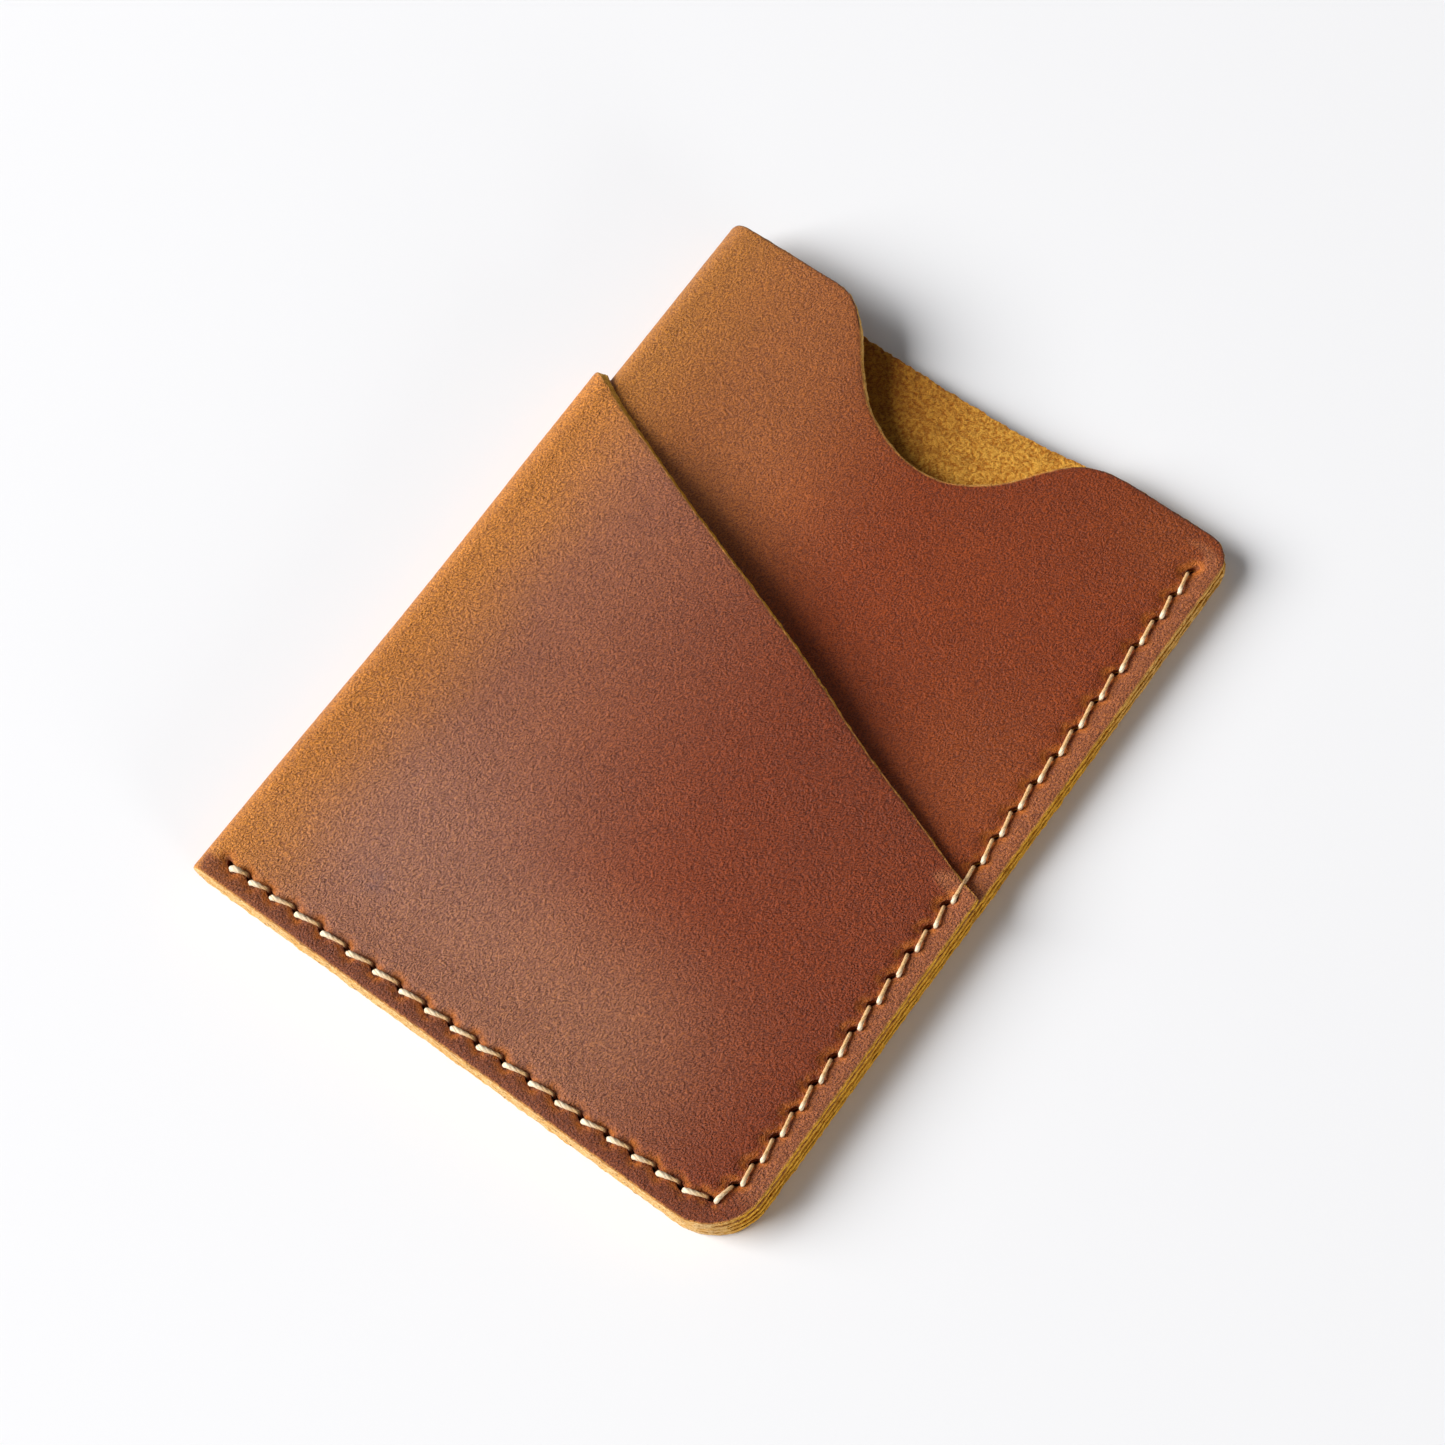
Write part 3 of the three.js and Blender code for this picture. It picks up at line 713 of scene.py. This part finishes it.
class Nodes:
    def __init__(self, name):
        self.mat = bpy.data.materials.new(name)
        self.mat.use_nodes = True
        self.t = self.mat.node_tree
        self.t.nodes.clear()
        self.out = self.t.nodes.new("ShaderNodeOutputMaterial")
        self.bsdf = self.t.nodes.new("ShaderNodeBsdfPrincipled")
        self.t.links.new(self.bsdf.outputs[0], self.out.inputs[0])
        self._co = None

    def add(self, kind, **kw):
        n = self.t.nodes.new(kind)
        for k, v in kw.items():
            setattr(n, k, v)
        return n

    def link(self, a, b):
        self.t.links.new(a, b)

    def set(self, sock, v):
        if hasattr(v, "bl_idname") or isinstance(v, bpy.types.NodeSocket):
            self.link(v, sock)
        else:
            sock.default_value = v

    def co(self, scale=1000.0, stretch=(1, 1, 1)):
        """Object coordinates in millimetres."""
        if self._co is None:
            self._co = self.add("ShaderNodeTexCoord").outputs["Object"]
        m = self.add("ShaderNodeVectorMath", operation="MULTIPLY")
        self.link(self._co, m.inputs[0])
        m.inputs[1].default_value = [scale * s for s in stretch]
        return m.outputs[0]

    def noise(self, size, detail=3.0, rough=0.55, co=None, dist=0.0, stretch=(1, 1, 1)):
        n = self.add("ShaderNodeTexNoise")
        n.inputs["Scale"].default_value = 1.0 / size
        n.inputs["Detail"].default_value = detail
        n.inputs["Roughness"].default_value = rough
        n.inputs["Distortion"].default_value = dist
        self.link(co if co is not None else self.co(stretch=stretch), n.inputs["Vector"])
        return n.outputs["Fac"]

    def voronoi(self, size, feature="DISTANCE_TO_EDGE", co=None, stretch=(1, 1, 1), rand=1.0, out="Distance"):
        n = self.add("ShaderNodeTexVoronoi", feature=feature)
        n.inputs["Scale"].default_value = 1.0 / size
        n.inputs["Randomness"].default_value = rand
        self.link(co if co is not None else self.co(stretch=stretch), n.inputs["Vector"])
        return n.outputs[out]

    def attr(self, name):
        return self.add("ShaderNodeAttribute", attribute_name=name).outputs["Fac"]

    def math(self, op, a, b=0.0, c=None, clamp=False):
        n = self.add("ShaderNodeMath", operation=op, use_clamp=clamp)
        self.set(n.inputs[0], a)
        self.set(n.inputs[1], b)
        if c is not None:
            self.set(n.inputs[2], c)
        return n.outputs[0]

    def ramp(self, fac, a, b, lo=0.0, hi=1.0, smooth=True):
        n = self.add("ShaderNodeMapRange")
        n.interpolation_type = "SMOOTHSTEP" if smooth else "LINEAR"
        self.set(n.inputs["Value"], fac)
        n.inputs["From Min"].default_value = a
        n.inputs["From Max"].default_value = b
        n.inputs["To Min"].default_value = lo
        n.inputs["To Max"].default_value = hi
        return n.outputs["Result"]

    def mix(self, fac, a, b, mode="MIX"):
        n = self.add("ShaderNodeMix", data_type="RGBA", blend_type=mode)
        self.set(n.inputs[0], fac)
        self.set(n.inputs[6], a)
        self.set(n.inputs[7], b)
        return n.outputs[2]

    def lay(self, co, degrees, stretch):
        """Coordinates turned about the leather's face and stretched along the new axes."""
        r = self.add("ShaderNodeVectorRotate", rotation_type="Z_AXIS")
        r.inputs["Angle"].default_value = math.radians(degrees)
        self.link(co, r.inputs["Vector"])
        m = self.add("ShaderNodeVectorMath", operation="MULTIPLY")
        self.link(r.outputs[0], m.inputs[0])
        m.inputs[1].default_value = stretch
        return m.outputs[0]

    def warp(self, co, size, amount, seed=0.0):
        n = self.add("ShaderNodeTexNoise")
        n.inputs["Scale"].default_value = 1.0 / size
        n.inputs["Detail"].default_value = 2
        self.link(co, n.inputs["Vector"])
        s = self.add("ShaderNodeVectorMath", operation="SUBTRACT")
        self.link(n.outputs["Color"], s.inputs[0])
        s.inputs[1].default_value = (0.5, 0.5, 0.5)
        m = self.add("ShaderNodeVectorMath", operation="SCALE")
        self.link(s.outputs[0], m.inputs[0])
        m.inputs["Scale"].default_value = amount
        a = self.add("ShaderNodeVectorMath", operation="ADD")
        self.link(co, a.inputs[0])
        self.link(m.outputs[0], a.inputs[1])
        return a.outputs[0]

    def bump(self, height, dist, strength=1.0, prev=None):
        n = self.add("ShaderNodeBump")
        n.inputs["Strength"].default_value = strength
        n.inputs["Distance"].default_value = dist
        self.link(height, n.inputs["Height"])
        if prev is not None:
            self.link(prev, n.inputs["Normal"])
        return n.outputs["Normal"]


def spot(N, x, y, rx, ry):
    """A soft spot at a place on the flat pattern: 1 in its middle, 0 outside."""
    fx, fy = N.attr("flat_x"), N.attr("flat_y")
    dx = N.math("DIVIDE", N.math("SUBTRACT", fx, x), rx)
    dy = N.math("DIVIDE", N.math("SUBTRACT", fy, y), ry)
    r2 = N.math("ADD", N.math("MULTIPLY", dx, dx), N.math("MULTIPLY", dy, dy))
    return N.math("EXPONENT", N.math("MULTIPLY", r2, -1.0))


def grain_material(name, which):
    """Oiled pull-up leather, grain side."""
    N = Nodes(name)
    co = N.co()
    warped = N.warp(co, 2.6, 0.9)
    # fine wavy grain: short ridges lying one way, with pores and a finer roughness on them
    lay = N.lay(co, 26.0, (1.0, 0.55, 1.0))
    ridge = N.noise(0.15, detail=1.5, rough=0.5, co=N.warp(lay, 1.3, 0.3))
    wrinkle = N.noise(0.31, detail=2.0, rough=0.5, co=N.warp(lay, 3.4, 0.5))
    fine = N.noise(0.10, detail=1.0, rough=0.6)
    pore = N.voronoi(0.36, feature="F1", co=N.warp(co, 0.8, 0.3))
    broad = N.noise(30, detail=3, rough=0.5, dist=0.4)
    mid = N.noise(9, detail=4, rough=0.55, dist=0.3)
    # pull-up: the wax moves and the hide shows lighter and more golden where it is bent. Part of this is painted light:
    # the paler colour near the fold, and on the outer leather along the lower rows, is also painted sheen, and the gold
    # on the fold is also a painted highlight where the fold turns to the light.
    across_x, up_y = N.attr("flat_x"), N.attr("flat_y")
    bent = N.math("ABSOLUTE", across_x)
    if which == "outer":
        base, bloom_and_sheen, fold_gold_and_highlight = srgb(125, 52, 17), srgb(151, 97, 73), srgb(188, 120, 50)
        low = N.math("MULTIPLY", N.ramp(up_y, 29, 9), N.ramp(bent, 67, 44))
        side = N.ramp(bent, 46, 6, 0.0, 0.86)
        # paler near the fold and along the lower rows: pull-up lightening with painted sheen
        col = N.mix(N.math("MAXIMUM", low, side), base, bloom_and_sheen)
        col = N.mix(N.math("MULTIPLY", spot(N, 6.2, 8.4, 2.6, 0.5), 0.55), col, srgb(196, 150, 116))
        # painted reflection: a pale pinkish patch of sheen at the lower left of the pocket
        col = N.mix(N.math("MULTIPLY", spot(N, 18, 16, 17, 13), 0.65), col, srgb(160, 112, 95))
        stain = N.math("MULTIPLY", spot(N, 18.7, 9.7, 1.7, 1.5), N.ramp(N.noise(1.2, 3), 0.30, 0.6))
        col = N.mix(N.math("MULTIPLY", stain, 0.55), col, srgb(120, 88, 92))
        fold = N.ramp(N.math("ADD", bent, N.ramp(mid, 0.3, 0.7, -1.1, 1.1)), 2.0, 16.5, 1.0, 0.0)
    else:
        base, bloom_and_sheen, fold_gold_and_highlight = srgb(130, 54, 12), srgb(151, 89, 46), srgb(171, 111, 50)
        # paler near the fold: pull-up lightening with painted sheen
        col = N.mix(N.ramp(bent, 40, 14), base, bloom_and_sheen)
        col = N.mix(N.math("MULTIPLY", spot(N, 63, 56, 9, 9), 0.7), col, srgb(142, 70, 29))
        col = N.mix(N.math("MULTIPLY", spot(N, 65, 92, 8, 8), 0.5), col, srgb(140, 72, 28))
        fold = N.ramp(N.math("ADD", bent, N.ramp(mid, 0.3, 0.7, -1.1, 1.1)), 1.0, 16.0, 1.0, 0.0)
    # gold on the fold: pull-up lightening with a painted highlight where the fold faces the light
    col = N.mix(fold, col, fold_gold_and_highlight)
    # the margin outside the stitches is pressed and darker
    margin = N.math("MULTIPLY", N.ramp(N.attr("edge_d"), 2.6, 1.7), N.ramp(N.attr("seam_d"), 4.0, 2.8))
    col = N.mix(N.math("MULTIPLY", margin, 0.80), col, N.mix(N.ramp(up_y, 3.5, 7.0), srgb(120, 58, 30), srgb(158, 95, 62)))
    tone = N.math("ADD", N.math("MULTIPLY", broad, 0.5), N.math("MULTIPLY", mid, 0.5))
    col = N.mix(N.ramp(tone, 0.48, 0.66, 0.0, 0.32), col, N.mix(1.0, col, (1.25, 1.28, 1.2, 1), "MULTIPLY"))
    col = N.mix(N.ramp(tone, 0.50, 0.34, 0.0, 0.32), col, N.mix(1.0, col, (0.80, 0.74, 0.74, 1), "MULTIPLY"))
    dark = N.mix(1.0, col, (0.55, 0.47, 0.50, 1), "MULTIPLY")
    gold = N.mix(1.0, col, (1.42, 1.40, 1.02, 1), "MULTIPLY")
    # ridge tops show the golden undertone, hollows the dark wax
    speck = N.math("ADD", N.math("MULTIPLY", ridge, 0.50), N.math("MULTIPLY", fine, 0.50))
    col = N.mix(N.ramp(speck, 0.505, 0.575, 0.0, 1.0), col, gold)
    col = N.mix(N.ramp(speck, 0.495, 0.415, 0.0, 0.95), col, dark)
    col = N.mix(N.ramp(pore, 0.16, 0.05, 0.0, 0.45), col, dark)
    # an orange halo round each slit
    halo = N.ramp(N.attr("hole_d"), 1.35, 0.45)
    halo_n = N.math("MULTIPLY", halo, N.ramp(N.noise(0.9, 3), 0.30, 0.62))
    col = N.mix(N.math("MULTIPLY", halo_n, 0.85), col, srgb(192, 108, 34))
    # painted shade: darker brown round the mouth of each slit
    pit = N.ramp(N.attr("hole_d"), 0.46, 0.27)
    col = N.mix(N.math("MULTIPLY", pit, 0.75), col, srgb(116, 54, 18))
    # thin worn ochre line where the grain meets the cut edge; along the top edges it is dark instead, painted shade
    # where the rolled grain turns away from the light
    rim = N.ramp(N.attr("edge_d"), 0.22, 0.05)
    col = N.mix(N.math("MULTIPLY", rim, N.ramp(N.noise(0.7, 3), 0.3, 0.6, 0.3, 0.8)), col, N.mix(N.ramp(up_y, 90.0, 92.0), srgb(212, 148, 68), srgb(66, 34, 20)))
    col = N.mix(1.0, col, (1.10, 1.07, 1.02, 1) if which == "outer" else (1.06, 1.02, 0.92, 1), "MULTIPLY")
    N.link(col, N.bsdf.inputs["Base Color"])
    rough = N.math("ADD", N.ramp(tone, 0.35, 0.65, 0.50, 0.60), N.math("MULTIPLY", N.math("SUBTRACT", fine, 0.5), 0.16))
    N.link(rough, N.bsdf.inputs["Roughness"])
    N.bsdf.inputs["Specular IOR Level"].default_value = 0.32
    N.bsdf.inputs["Sheen Weight"].default_value = 0.04
    N.bsdf.inputs["Sheen Roughness"].default_value = 0.5
    h = N.math("ADD", N.math("MULTIPLY", ridge, 1.0), N.math("MULTIPLY", fine, 0.40))
    h = N.math("ADD", h, N.math("MULTIPLY", N.ramp(pore, 0.05, 0.22), 0.12))
    b = N.bump(h, 0.00022 if which == "inner" else 0.00030, 1.0)
    b = N.bump(wrinkle, 0.00011 if which == "inner" else 0.00020, 0.9, b)
    N.link(b, N.bsdf.inputs["Normal"])
    return N.mat


def flesh_material(name):
    """Brushed flesh side: matted fibres, mustard with brown."""
    N = Nodes(name)
    co = N.co()
    f1 = N.noise(0.42, detail=5, rough=0.68, co=N.warp(co, 0.9, 0.5))
    f2 = N.noise(1.5, detail=4, rough=0.6)
    f3 = N.noise(0.15, detail=3, rough=0.7, co=N.lay(co, 40.0, (1.0, 0.35, 1.0)))
    col = N.mix(N.ramp(f1, 0.36, 0.64), srgb(180, 108, 24), srgb(244, 182, 74))
    col = N.mix(N.ramp(f2, 0.50, 0.34, 0.0, 0.45), col, srgb(150, 88, 18))
    col = N.mix(N.ramp(f3, 0.52, 0.68, 0.0, 0.5), col, srgb(250, 196, 96))
    col = N.mix(N.ramp(f3, 0.44, 0.32, 0.0, 0.65), col, srgb(104, 54, 8))
    # painted shadow: the flesh side darker at its left, under the raised tab
    col = N.mix(N.math("MULTIPLY", spot(N, -23, 88, 15, 12), 1.0), col, N.mix(1.0, col, (0.46, 0.34, 0.17, 1), "MULTIPLY"))
    N.link(col, N.bsdf.inputs["Base Color"])
    N.bsdf.inputs["Roughness"].default_value = 0.95
    N.bsdf.inputs["Specular IOR Level"].default_value = 0.06
    N.bsdf.inputs["Sheen Weight"].default_value = 0.06
    N.bsdf.inputs["Sheen Roughness"].default_value = 0.6
    b = N.bump(f1, 0.00035, 0.9)
    b = N.bump(f3, 0.00012, 0.8, b)
    N.link(b, N.bsdf.inputs["Normal"])
    return N.mat


def edge_material(name):
    """Raw cut edge: pale core, fibres along the cut, a dyed skin on the grain side."""
    N = Nodes(name)
    th = N.attr("through")
    co = N.co()
    n1 = N.noise(0.30, detail=5, rough=0.75, stretch=(1, 1, 2.2))
    n2 = N.noise(1.6, detail=3, rough=0.55)
    n3 = N.noise(0.55, detail=4, rough=0.7)
    # painted highlight: the cut edge paled towards cream at the bottom, where it faces the light, and half way towards
    # cream high up
    pale = N.math("MAXIMUM", N.ramp(N.attr("flat_y"), 4.0, 1.0), N.ramp(N.attr("flat_y"), 62.0, 78.0, 0.0, 0.5))
    col = N.mix(N.ramp(n1, 0.34, 0.60), N.mix(pale, srgb(210, 138, 28), srgb(206, 146, 62)), N.mix(pale, srgb(255, 196, 70), srgb(243, 206, 148)))
    col = N.mix(N.ramp(n2, 0.50, 0.36, 0.0, 0.45), col, srgb(206, 146, 52))
    lines = N.math("FRACT", N.math("ADD", N.math("MULTIPLY", th, 3.0), N.math("MULTIPLY", n2, 1.3)))
    col = N.mix(N.math("MULTIPLY", N.ramp(lines, 0.80, 0.98), 0.30), col, srgb(160, 104, 36))
    col = N.mix(N.ramp(n3, 0.43, 0.34, 0.0, 0.8), col, srgb(110, 58, 14))
    col = N.mix(N.ramp(th, 0.07, 0.01, 0.0, 0.6), col, srgb(140, 80, 36))
    col = N.mix(N.ramp(th, 0.93, 1.0, 0.0, 0.5), col, srgb(130, 80, 28))
    N.link(col, N.bsdf.inputs["Base Color"])
    N.bsdf.inputs["Roughness"].default_value = 0.92
    N.bsdf.inputs["Specular IOR Level"].default_value = 0.06
    N.bsdf.inputs["Sheen Weight"].default_value = 0.03
    b = N.bump(n1, 0.00018, 0.9)
    N.link(b, N.bsdf.inputs["Normal"])
    return N.mat


def slit_material(name):
    """Inside of an awl slit."""
    N = Nodes(name)
    n = N.noise(0.4, detail=3)
    N.link(N.mix(n, srgb(112, 54, 20), srgb(176, 92, 36)), N.bsdf.inputs["Base Color"])
    N.bsdf.inputs["Roughness"].default_value = 0.9
    return N.mat


def thread_material(name):
    """Waxed, twisted thread."""
    N = Nodes(name)
    ply, sunk, along = N.attr("ply"), N.attr("sunk"), N.attr("along")
    fib = N.noise(0.14, detail=4, rough=0.6, stretch=(1, 1, 1))
    patch = N.noise(1.4, detail=3)
    body = N.mix(N.ramp(fib, 0.35, 0.68), srgb(206, 156, 98), srgb(244, 204, 148))
    bright = N.mix(N.ramp(fib, 0.35, 0.68), srgb(246, 222, 180), srgb(255, 242, 218))
    # painted highlight: the thread paled to near white where it rises out of a slit towards the light
    col = N.mix(N.attr("painted_bead_highlight"), body, bright)
    # painted shade in the grooves between the plies
    col = N.mix(N.ramp(ply, 0.75, 0.20, 0.0, 0.45), col, srgb(160, 108, 58))
    col = N.mix(N.ramp(patch, 0.50, 0.34, 0.0, 0.25), col, srgb(190, 140, 84))
    # painted shade: the thread darker where it sinks into the slits
    col = N.mix(N.math("MULTIPLY", sunk, 0.85), col, srgb(124, 68, 28))
    N.link(col, N.bsdf.inputs["Base Color"])
    N.bsdf.inputs["Roughness"].default_value = 0.5
    N.bsdf.inputs["Specular IOR Level"].default_value = 0.3
    N.bsdf.inputs["Sheen Weight"].default_value = 0.1
    b = N.bump(fib, 0.00006, 0.8)
    N.link(b, N.bsdf.inputs["Normal"])
    return N.mat


# ---- pieces --------------------------------------------------------------------------------------------
flesh = flesh_material("leather_flesh")
edge = edge_material("leather_raw_edge")
slitm = slit_material("leather_slit")

core, _ = leather(Core, "core_leather")
for m in (grain_material("leather_grain_inner", "inner"), flesh, edge, slitm):
    core.data.materials.append(m)
wrap, _ = leather(Wrap, "wrap_leather")
for m in (grain_material("leather_grain_outer", "outer"), flesh, edge, slitm):
    wrap.data.materials.append(m)
sewn = thread("saddle_stitch_thread")
sewn.data.materials.append(thread_material("waxed_thread"))

for piece, node, slot in ((core, "core_body", "leather_inner"), (wrap, "outer_wrap", "leather_outer"),
                          (sewn, "stitch_thread", "waxed_thread")):
    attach(piece, "root")
    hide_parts(node)

# ---- floor, light, camera --------------------------------------------------------------------------
def floor():
    me = bpy.data.meshes.new("floor")
    s = 1.2
    me.from_pydata([(-s, -s, 0), (s, -s, 0), (s, s, 0), (-s, s, 0)], [], [(0, 1, 2, 3)])
    o = bpy.data.objects.new("floor", me)
    bpy.context.scene.collection.objects.link(o)
    N = Nodes("pale_floor")
    N.bsdf.inputs["Base Color"].default_value = (0.86, 0.862, 0.88, 1)
    N.bsdf.inputs["Roughness"].default_value = 0.9
    N.bsdf.inputs["Specular IOR Level"].default_value = 0.1
    me.materials.append(N.mat)


floor()


def area_light(name, direction, distance, size, power, color=(1, 1, 1), size_y=None):
    d = Vector(direction).normalized()
    l = bpy.data.lights.new(name, "AREA")
    l.shape = "RECTANGLE"
    l.size, l.size_y = size, size_y or size
    l.energy = power
    l.color = color
    o = bpy.data.objects.new(name, l)
    o.location = d * distance
    o.rotation_euler = (-d).to_track_quat("-Z", "Y").to_euler()
    bpy.context.scene.collection.objects.link(o)
    return o


def light_dir(azimuth, elevation):
    a, e = math.radians(azimuth), math.radians(elevation)
    return (math.cos(a) * math.cos(e), math.sin(a) * math.cos(e), math.sin(e))


area_light("key", light_dir(217, 32.5), 4.0, 2.8, 313.0, (1.0, 0.995, 0.985))
area_light("side", light_dir(344, 7), 3.0, 1.1, 34.0, (1.0, 0.99, 0.97))
world = bpy.data.worlds.new("studio")
world.use_nodes = True
bg = world.node_tree.nodes["Background"]
bg.inputs["Color"].default_value = (0.97, 0.98, 1.0, 1)
bg.inputs["Strength"].default_value = 0.145
bpy.context.scene.world = world

cam = bpy.data.cameras.new("camera")
cam.sensor_width = 36.0
cam.lens = 36.0 * 2832.07 / 1445
cam.clip_start = 0.01
camera = bpy.data.objects.new("camera", cam)
R = np.array([[0.807207079, 0.589360076, -0.032732746],
              [0.541722954, -0.761703188, -0.355449707],
              [-0.234420503, 0.269189439, -0.934122087]])
m = Matrix(((R[0][0], -R[1][0], -R[2][0], 0.071847519),
            (R[0][1], -R[1][1], -R[2][1], -0.082871777),
            (R[0][2], -R[1][2], -R[2][2], 0.284956590),
            (0, 0, 0, 1)))
camera.matrix_world = m
bpy.context.scene.collection.objects.link(camera)
bpy.context.scene.camera = camera
bpy.context.scene.view_settings.view_transform = "Standard"
